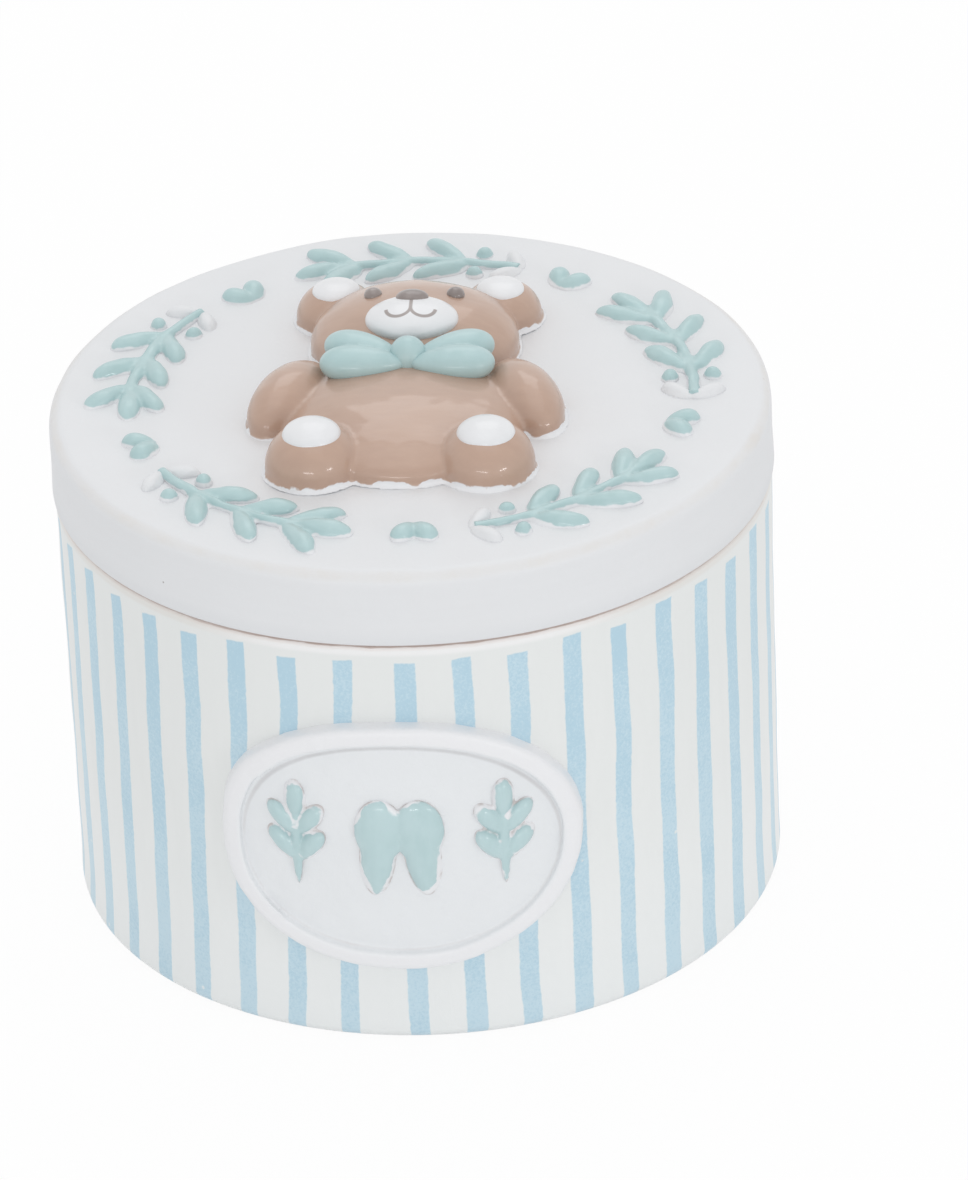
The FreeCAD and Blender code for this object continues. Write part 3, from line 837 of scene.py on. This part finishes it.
def relief_paint(name, colour, deep, bare, height, streak, bare_foot, roughness, coat, grime=0.0):
    """Thick brushed paint on a relief, with a ragged edge above the ground and grime at its foot."""
    finish = Finish(name, Coat_Roughness=0.08, Coat_IOR=COAT_IOR)
    brush = finish.noise(per_mm=0.8, detail=3.0, stretch=streak)
    cloud = finish.noise(per_mm=0.18)
    paint = finish.mix(finish.step(brush * 0.6 + cloud * 0.5, *PAINT_LEVELS), deep, colour)
    ragged = finish.step(finish.noise(per_mm=0.45, detail=3.0), *RAGGED_LEVELS)
    edge = bare_foot * (RAGGED_LEAST_SHARE + RAGGED_REACH_SHARE * ragged)
    covered = finish.step(height(finish), edge - RAGGED_SOFT_EDGE, edge + RAGGED_SOFT_EDGE)
    paint = finish.mix(covered, bare, paint)
    if grime:
        patches = finish.step(finish.noise(per_mm=0.6, detail=3.0), *FOOT_GRIME_LEVELS)
        at_foot = 1 - finish.step(height(finish), *FOOT_GRIME_BAND)
        paint = finish.mix(at_foot * patches * grime, paint, GRIME_BROWN)
    paint = finish.mix(finish.specks(*RELIEF_SPECKS), paint, BROWN_DEEP)
    finish.bump(brush * 0.6 + finish.noise(per_mm=0.5) * 0.8 + covered * 0.5, depth=0.03)
    finish.feed(finish.shader, {"Coat Weight": covered * coat})
    return finish.paint(paint, roughness=roughness, spread=0.1, patches=cloud)


def mouth_line(finish):
    """Short upright line under the nose, with a small arc to each side of its foot."""
    reach = MOUTH_ARC_SHARE * FIELD_RADIUS / MM
    across = abs(finish.x)
    along = finish.y - MOUTH_PLACE_SHARE * FIELD_RADIUS / MM
    sideways = across - reach
    from_arc = abs(finish.math("SQRT", sideways * sideways + along * along) - reach)
    is_above = finish.step(along, *MOUTH_TURN_BAND)
    off_line = from_arc * (1 - is_above) + across * is_above
    half_line = MOUTH_LINE / 2
    return 1 - finish.step(off_line, half_line - MOUTH_SOFT_EDGE, half_line + MOUTH_SOFT_EDGE)


def relief_white(name, mark=None):
    finish = Finish(name, Coat_Roughness=0.1, Coat_IOR=COAT_IOR)
    cloud = finish.noise(per_mm=0.3, detail=3.0)
    colour = finish.mix(cloud, LID_SHADE, RELIEF_WHITE)
    foot = 1 - finish.step(above_lid(finish), *WHITE_FOOT_BAND)
    colour = finish.mix(foot * WHITE_FOOT_WEAR, colour, WEAR_BEIGE)
    if mark:
        colour = finish.mix(mark(finish) * MOUTH_STRENGTH, colour, BROWN)
    finish.bump(finish.noise(per_mm=0.8, detail=3.0), depth=0.03)
    finish.feed(finish.shader, {"Coat Weight": 0.2 + cloud * 0.3})
    return finish.paint(colour, roughness=0.32, spread=0.15, patches=cloud)


# Cup and lid

def cast_cup():
    inner_radius = BOX_RADIUS - WALL
    piece = turned("cast_cup", [
        (0, 0, 0),
        (BOX_RADIUS, 0, BASE_ROUND),
        (BOX_RADIUS, SEAT_HEIGHT, SHOULDER_ROUND),
        (inner_radius, SEAT_HEIGHT, MOUTH_ROUND),
        (inner_radius, FLOOR, INSIDE_ROUND),
        (0, FLOOR, 0),
    ])

    def between_edges(height):
        return min(eased(height - BASE_ROUND), eased(SEAT_HEIGHT - height))

    worn(piece, *CUP_UNEVENNESS, hold=between_edges)
    return smooth(piece)


def cast_lid():
    spigot_radius = BOX_RADIUS - WALL - SPIGOT_CLEARANCE
    hollow_radius = spigot_radius - SPIGOT_WALL
    roof = LID_TOP - LID_PLATE
    piece = turned("cast_lid", [
        (0, roof, 0),
        (hollow_radius, roof, ROOF_ROUND),
        (hollow_radius, SPIGOT_END, SPIGOT_ROUND),
        (spigot_radius, SPIGOT_END, SPIGOT_ROUND),
        (spigot_radius, SEAT_HEIGHT, 0),
        (LID_RADIUS, SEAT_HEIGHT, LID_LIP_ROUND),
        (LID_RADIUS, LID_TOP, LID_TOP_ROUND),
        (0, LID_TOP, 0),
    ])
    worn(piece, *LID_UNEVENNESS, hold=lambda height: eased(height - SEAT_HEIGHT))
    return smooth(piece)


# Plaque

def stand_on_wall(piece):
    """Carries a piece modelled flat, with its height along Z, onto the round wall at the plaque."""
    for point in piece.data.vertices:
        across, upwards, out = point.co
        depth = math.sqrt((BOX_RADIUS + out) ** 2 - across ** 2)
        point.co = (across, -depth, PLAQUE_CENTRE + upwards)
    return smooth(piece)


def runs_round_rim(piece, edge, is_outer):
    """Whether an edge runs along the top of the rim, on its outer or its inner side."""
    ends = [piece.data.vertices[index].co for index in edge.vertices]
    levels = [math.hypot(end.x / PLAQUE_HALF_WIDTH, end.y / PLAQUE_HALF_HEIGHT) for end in ends]
    on_top = min(end.z for end in ends) > RIM_PROUD - TOUCH
    half_rim = RIM_WIDTH / PLAQUE_HALF_WIDTH / 2
    is_along = abs(levels[0] - levels[1]) < half_rim / 2
    return on_top and is_along and (min(levels) > 1 - half_rim) == is_outer


def fill_out(piece):
    """Fills out the shoulders of the plaque's oval, which keeps its width and height."""
    for point in piece.data.vertices:
        power = OVAL_POWERS["left" if point.co.x < 0 else "right"]
        for axis, half_size in enumerate((PLAQUE_HALF_WIDTH, PLAQUE_HALF_HEIGHT)):
            share = point.co[axis] / half_size
            point.co[axis] = math.copysign(abs(share) ** (2 / power), share) * half_size


def plaque_casting():
    bpy.ops.object.select_all(action="DESELECT")
    bpy.ops.mesh.primitive_circle_add(
        vertices=TURNED_SIDES, radius=PLAQUE_HALF_WIDTH, fill_type="NGON", location=(0, 0, -BEDDING))
    piece = start(bpy.context.object, "plaque_casting")
    piece.scale.y = PLAQUE_HALF_HEIGHT / PLAQUE_HALF_WIDTH
    bpy.ops.object.transform_apply(location=True, rotation=True, scale=True)
    fill_out(piece)
    with edit_mode(piece):
        rise = Vector((0, 0, BEDDING + RIM_PROUD))
        bpy.ops.mesh.extrude_region_move(TRANSFORM_OT_translate={"value": rise})
        bpy.ops.mesh.inset(thickness=RIM_WIDTH)
        sink = Vector((0, 0, PLAQUE_PLATE - RIM_PROUD))
        bpy.ops.mesh.extrude_region_move(TRANSFORM_OT_translate={"value": sink})
        for is_outer, rounding in ((False, RIM_INNER_ROUND), (True, RIM_ROUND)):
            choose(piece, "EDGE", lambda edge: runs_round_rim(piece, edge, is_outer))
            bpy.ops.mesh.bevel(offset=rounding, segments=ROUND_STEPS, affect="EDGES")
        bpy.ops.mesh.select_all(action="SELECT")
        bpy.ops.mesh.normals_make_consistent(inside=False)
    piece = together("plaque_casting", [piece])
    swayed(piece, PLAQUE_SWAYS)
    worn(piece, *PLAQUE_UNEVENNESS)
    return stand_on_wall(piece)


def of_tooth(shares):
    return shares[0] * TOOTH_HALF_WIDTH, shares[1] * TOOTH_HALF_HEIGHT


def tooth_relief():
    """Small molar: two cusps that make up its crown, each on a tapering root."""
    cusp_across, cusp_upwards = of_tooth(CUSP_PLACE_SHARES)
    tip_across, tip_upwards = of_tooth(ROOT_TIP_SHARES)
    root_width, root_length = of_tooth(ROOT_SIZE_SHARES)
    lumps = []
    for side in SIDES.values():
        cusp = (side * cusp_across, cusp_upwards, PLAQUE_PLATE)
        lumps.append(lump((*of_tooth(CUSP_SIZE_SHARES), TOOTH_PROUD), cusp))
        tip = (side * tip_across, tip_upwards, PLAQUE_PLATE)
        lumps += leaf(root_length, root_width, TOOTH_PROUD, tip, QUARTER_TURN + side * TOOTH_ROOT_LEAN)
    return stand_on_wall(together("tooth_relief", lumps, softness=TOOTH_SOFTNESS))


def plaque_sprig(name, side):
    """Upright stem with two pairs of leaves and a tip leaf, midway between the tooth and the rim."""
    across = side * (TOOTH_HALF_WIDTH + PLAQUE_SPRIG_ROOM / 2)
    length, width = (share * PLAQUE_SPRIG_ROOM for share in PLAQUE_LEAF_SHARES)
    stem_length, stem_width = (share * PLAQUE_SPRIG_ROOM for share in PLAQUE_STEM_SHARES)
    stem_sizes = (stem_width / 2, stem_length / 2, PLAQUE_LEAF_PROUD * PLAQUE_STEM_PROUD_SHARE)
    lumps = [lump(stem_sizes, (across, 0, PLAQUE_PLATE))]
    tip = (across, stem_length / 2 - length / 2, PLAQUE_PLATE)
    lumps += leaf(length, width, PLAQUE_LEAF_PROUD, tip, QUARTER_TURN)
    for place_share in PLAQUE_LEAF_PLACE_SHARES:
        for lean in (-LEAF_LEAN, LEAF_LEAN):
            foot = (across, place_share * stem_length, PLAQUE_PLATE)
            lumps += leaf(length, width, PLAQUE_LEAF_PROUD, foot, QUARTER_TURN + lean)
    return stand_on_wall(together(name, lumps, grain=PLAQUE_SPRIG_GRAIN))


# Wreath

def on_wreath(angle, offset=0.0):
    """Place on the lid's top, at an angle from a sprig's middle and an offset from the wreath's circle."""
    radius = WREATH_RADIUS + offset
    return Vector((radius * math.cos(angle), radius * math.sin(angle), LID_TOP))


def stem_start(piece):
    """Turn that carries the spun stem's middle to angle 0, whichever way it was spun."""
    middle = sum((point.co for point in piece.data.vertices), Vector())
    return -math.atan2(middle.y, middle.x)


def stem():
    """Round stem, spun along the wreath's circle from a small ring and half sunk into the lid."""
    bpy.ops.object.select_all(action="DESELECT")
    bpy.ops.mesh.primitive_circle_add(
        vertices=STEM_SIDES, radius=STEM_WIDTH / 2, location=on_wreath(0), rotation=(QUARTER_TURN, 0, 0))
    piece = start(bpy.context.object, "stem")
    bpy.ops.object.transform_apply(location=True, rotation=True, scale=True)
    with edit_mode(piece):
        bpy.ops.mesh.spin(steps=STEM_STEPS, angle=SPRIG_SPAN, center=(0, 0, 0), axis=(0, 0, 1))
        bpy.ops.mesh.select_all(action="SELECT")
        bpy.ops.mesh.fill_holes(sides=0)
        bpy.ops.mesh.normals_make_consistent(inside=False)
    return apply_place(piece, turn=stem_start(piece))


def sprigs():
    lumps = [stem()]
    tip_angle = SPRIG_SPAN / 2 - LEAF_WIDTH / WREATH_RADIUS
    lumps += leaf(LEAF_LENGTH, LEAF_WIDTH, LEAF_PROUD, on_wreath(tip_angle), SPRIG_SPAN / 2 + QUARTER_TURN)
    for place_share in LEAF_PLACE_SHARES:
        angle = place_share * SPRIG_SPAN
        for lean in (-LEAF_LEAN, LEAF_LEAN):
            lumps += leaf(LEAF_LENGTH, LEAF_WIDTH, LEAF_PROUD, on_wreath(angle), angle + QUARTER_TURN + lean)
    pieces = copies_round(bedded(together("sprig_relief_1", lumps)))
    for index, piece in enumerate(pieces):
        start(piece, "sprig_relief_" + str(index + 1))
        swayed(piece, SPRIG_SWAYS)
        worn(piece, *SPRIG_UNEVENNESS)
        smooth(piece)
    return pieces


def at_each_sprig(name, lumps, softness=RELIEF_SOFTNESS):
    """Group of like reliefs on the lid's top, one made of the lumps for each sprig."""
    first = bedded(together(name, lumps, softness=softness))
    return smooth(joined(name, copies_round(first)))


def white_leaf_reliefs():
    angle = -SPRIG_SPAN / 2
    lumps = []
    for lean in (-WHITE_LEAF_LEAN, WHITE_LEAF_LEAN):
        direction = angle + QUARTER_TURN + lean
        lumps += leaf(WHITE_LEAF_LENGTH, WHITE_LEAF_WIDTH, WHITE_LEAF_PROUD, on_wreath(angle), direction)
    return at_each_sprig("white_leaf_reliefs", lumps)


def berry_reliefs():
    width = BERRY_RADIUS * BERRY_WIDTH_SHARE
    lumps = []
    for side in SIDES.values():
        place = on_wreath(BERRY_PLACE_SHARE * SPRIG_SPAN, side * BERRY_OFFSET_SHARE * WREATH_BAND)
        lumps += dome(width, BERRY_RADIUS, BERRY_RADIUS, place, side * LEAF_LEAN, LEAF_FOOT_REACH)
    return at_each_sprig("berry_reliefs", lumps, BEAD_SOFTNESS)


def heart_reliefs():
    """Hearts of two lobes that fan out from a point towards the middle of the lid."""
    length, width = (share * HEART_WIDTH for share in HEART_LOBE_SHARES)
    angle = HEART_PLACE_SHARE * SPRIG_PITCH
    point = on_wreath(angle, -HEART_POINT_SHARE * HEART_WIDTH)
    lumps = []
    for side in SIDES.values():
        lumps += leaf(length, width, HEART_PROUD, point, angle + side * HEART_FAN)
    return at_each_sprig("heart_reliefs", lumps)


# Bear

def on_field(across_share, along_share, height_share, side=1):
    return Vector((
        side * across_share * FIELD_RADIUS,
        along_share * FIELD_RADIUS,
        LID_TOP + height_share * BEAR_PROUD,
    ))


def of_bear(width_share, length_share, height_share):
    return width_share * FIELD_RADIUS, length_share * FIELD_RADIUS, height_share * BEAR_PROUD


def bear_dome(shares, side=1, lean=0.0):
    across, along, half_width, half_length, height = shares
    place = on_field(across, along, 0, side)
    return dome(*of_bear(half_width, half_length, height), place, side * lean)


def bear_lump(shares, side=1):
    across, along, half_width, half_length, middle, half_height = shares
    return lump(of_bear(half_width, half_length, half_height), on_field(across, along, middle, side))


def bear_figure():
    lumps = bear_dome(BODY_SHARES) + bear_dome(HEAD_SHARES)
    for side in SIDES.values():
        lumps += bear_dome(EAR_SHARES, side)
        lumps += bear_dome(ARM_SHARES, side, ARM_LEAN)
        lumps += bear_dome(FOOT_SHARES, side)
    piece = bedded(together("bear_figure", lumps, FIGURE_GRAIN, FIGURE_SOFTNESS))
    worn(piece, *BEAR_UNEVENNESS)
    return smooth(piece)


def set_in(name, *lumps):
    """Small relief that is set into the figure."""
    return smooth(together(name, lumps, softness=BEAD_SOFTNESS))


def set_in_pair(name, shares):
    return set_in(name, *(bear_lump(shares, side) for side in SIDES.values()))


def bow_loop(name, side):
    """Loop of two folds that fan out from the knot."""
    across, along, half_width, half_length, middle, half_height = BOW_LOOP_SHARES
    sizes = of_bear(half_width, half_length * BOW_FOLD_WIDTH_SHARE, half_height)
    outwards = 0 if side > 0 else math.pi
    folds = []
    for fan in (-BOW_FAN, BOW_FAN):
        centre = on_field(across, along + fan * BOW_FAN_SHIFT_SHARE, middle, side)
        folds.append(lump(sizes, centre, side * (BOW_LEAN + fan) + outwards, BOW_FOLD_TAPER))
    return set_in(name, *folds)


# Studio

def soft_light(name, place, width, height, power):
    bpy.ops.object.light_add(type="AREA", location=place)
    lamp = bpy.context.object
    lamp.name = name
    lamp.data.shape = "RECTANGLE"
    lamp.data.size = width
    lamp.data.size_y = height
    lamp.data.energy = power
    aim = Vector((0, 0, SEAT_HEIGHT)) - Vector(place)
    lamp.rotation_euler = aim.to_track_quat("-Z", "Y").to_euler()


def seen_directly(tree):
    """1 for a ray from the camera, straight, mirrored or through glass; 0 for light on its way."""
    path = tree.nodes.new("ShaderNodeLightPath")
    total = path.outputs["Is Camera Ray"]
    for name in ("Is Glossy Ray", "Is Transmission Ray"):
        either = tree.nodes.new("ShaderNodeMath")
        either.operation = "MAXIMUM"
        tree.links.new(total, either.inputs[0])
        tree.links.new(path.outputs[name], either.inputs[1])
        total = either.outputs[0]
    return total


def studio_floor():
    bpy.ops.object.select_all(action="DESELECT")
    bpy.ops.mesh.primitive_plane_add(size=FLOOR_SIZE)
    floor = start(bpy.context.object, "studio_floor")
    material = bpy.data.materials.new("studio_white")
    material.use_nodes = True
    tree = material.node_tree
    tree.nodes.clear()
    matte = tree.nodes.new("ShaderNodeBsdfDiffuse")
    matte.inputs["Color"].default_value = FLOOR_WHITE
    glow = tree.nodes.new("ShaderNodeEmission")
    share = tree.nodes.new("ShaderNodeMath")
    share.operation = "MULTIPLY"
    share.inputs[1].default_value = FLOOR_GLOW_SHARE
    tree.links.new(seen_directly(tree), share.inputs[0])
    mixed = tree.nodes.new("ShaderNodeMixShader")
    tree.links.new(share.outputs[0], mixed.inputs[0])
    tree.links.new(matte.outputs[0], mixed.inputs[1])
    tree.links.new(glow.outputs[0], mixed.inputs[2])
    output = tree.nodes.new("ShaderNodeOutputMaterial")
    tree.links.new(mixed.outputs[0], output.inputs[0])
    floor.data.materials.append(material)


def studio_world():
    world = bpy.data.worlds.new("studio")
    bpy.context.scene.world = world
    world.use_nodes = True
    tree = world.node_tree
    background = tree.nodes["Background"]
    background.inputs["Color"].default_value = (1, 1, 1, 1)
    level = tree.nodes.new("ShaderNodeMapRange")
    level.inputs["To Min"].default_value = FILL_LIGHT
    level.inputs["To Max"].default_value = 1.0
    tree.links.new(seen_directly(tree), level.inputs["Value"])
    tree.links.new(level.outputs[0], background.inputs["Strength"])


def aim_camera():
    bpy.ops.object.camera_add()
    camera = bpy.context.object
    place = Matrix.Translation(Vector(CAMERA_PLACE_SHARES) * BOX_RADIUS)
    heading = Matrix.Rotation(-math.radians(CAMERA_HEADING), 4, "Z")
    dip = Matrix.Rotation(QUARTER_TURN - math.radians(CAMERA_DIP), 4, "X")
    roll = Matrix.Rotation(math.radians(CAMERA_ROLL), 4, "Z")
    camera.matrix_world = place @ heading @ dip @ roll
    camera.data.sensor_fit = "VERTICAL"
    camera.data.sensor_height = FILM_HEIGHT
    camera.data.lens = FILM_HEIGHT * FOCAL_PIXELS / PICTURE_HEIGHT_PIXELS
    bpy.context.scene.camera = camera


# Assembly

def dress(piece, body, slot, material, *nodes):
    """Paints a piece, lets it ride on its body and puts it in the place of its nodes."""
    piece.data.materials.clear()
    piece.data.materials.append(material)
    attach(piece, body)
    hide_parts(*nodes)


def build():
    lid_mint = relief_paint(
        "mint_paint", MINT, MINT_DEEP, LID_WHITE, above_lid, MINT_BRUSH,
        bare_foot=0.15, roughness=0.34, coat=0.35)
    plaque_mint = relief_paint(
        "plaque_mint_paint", PLAQUE_MINT, PLAQUE_MINT_DEEP, RELIEF_WHITE, above_plaque, MINT_BRUSH,
        bare_foot=0.3, roughness=0.3, coat=0.5, grime=0.5)
    # The figure's unpainted foot takes the brighter relief white rather than the lid's: painted light, as
    # bounced off the lid
    taupe = relief_paint(
        "taupe_gloss", TAUPE, TAUPE_DEEP, RELIEF_WHITE, above_lid, TAUPE_BRUSH,
        bare_foot=0.32, roughness=0.34, coat=0.7)
    brown = relief_paint(
        "brown_gloss", BROWN, BROWN_DEEP, RELIEF_WHITE, above_lid, BROWN_BRUSH,
        bare_foot=0.2, roughness=0.3, coat=0.8)
    plain_white = lid_white()
    white = relief_white("relief_white")

    dress(cast_cup(), "box", "striped_white", striped_white(), "box_cup")
    dress(plaque_casting(), "box", "plaque_white", plaque_white(), "oval_plaque")
    dress(tooth_relief(), "box", "mint_paint", plaque_mint, "plaque_tooth")
    for name, side in SIDES.items():
        sprig = plaque_sprig("plaque_sprig_relief_" + name, side)
        dress(sprig, "box", "mint_paint", plaque_mint, "plaque_" + name + "_sprig")

    dress(cast_lid(), "lid", "lid_white", plain_white, "lid_cap")
    for index, piece in enumerate(sprigs()):
        dress(piece, "lid", "mint_paint", lid_mint, "sprig_" + str(index + 1))
    dress(white_leaf_reliefs(), "lid", "relief_white", plain_white, "white_leaves")
    dress(berry_reliefs(), "lid", "mint_paint", lid_mint, "berries")
    dress(heart_reliefs(), "lid", "mint_paint", lid_mint, "hearts")

    limbs = ["bear_" + side + "_" + limb for side in SIDES for limb in ("ear", "arm", "foot")]
    dress(bear_figure(), "lid", "taupe_gloss", taupe, "bear_body", "bear_head", *limbs)
    dress(set_in_pair("ear_inner_reliefs", EAR_INNER_SHARES), "lid", "relief_white", white, "ear_inners")
    dress(set_in_pair("foot_pad_reliefs", FOOT_PAD_SHARES), "lid", "relief_white", white, "foot_pads")
    dress(set_in_pair("eye_beads", EYE_SHARES), "lid", "brown_gloss", brown, "bear_eyes")
    muzzle = set_in("muzzle_relief", bear_lump(MUZZLE_SHARES))
    dress(muzzle, "lid", "relief_white", relief_white("muzzle_white", mouth_line), "bear_muzzle")
    nose = set_in("nose_bead", bear_lump(NOSE_SHARES))
    dress(nose, "lid", "brown_gloss", brown, "bear_nose")
    for name, side in SIDES.items():
        dress(bow_loop("bow_fold_" + name, side), "lid", "mint_paint", lid_mint, "bow_" + name + "_loop")
    knot = set_in("bow_middle", bear_lump(BOW_KNOT_SHARES))
    dress(knot, "lid", "mint_paint", lid_mint, "bow_knot")


build()
studio_floor()
studio_world()
for light_name, light in SOFT_LIGHTS.items():
    soft_light(light_name, *light)
aim_camera()
bpy.context.scene.view_settings.view_transform = "Standard"
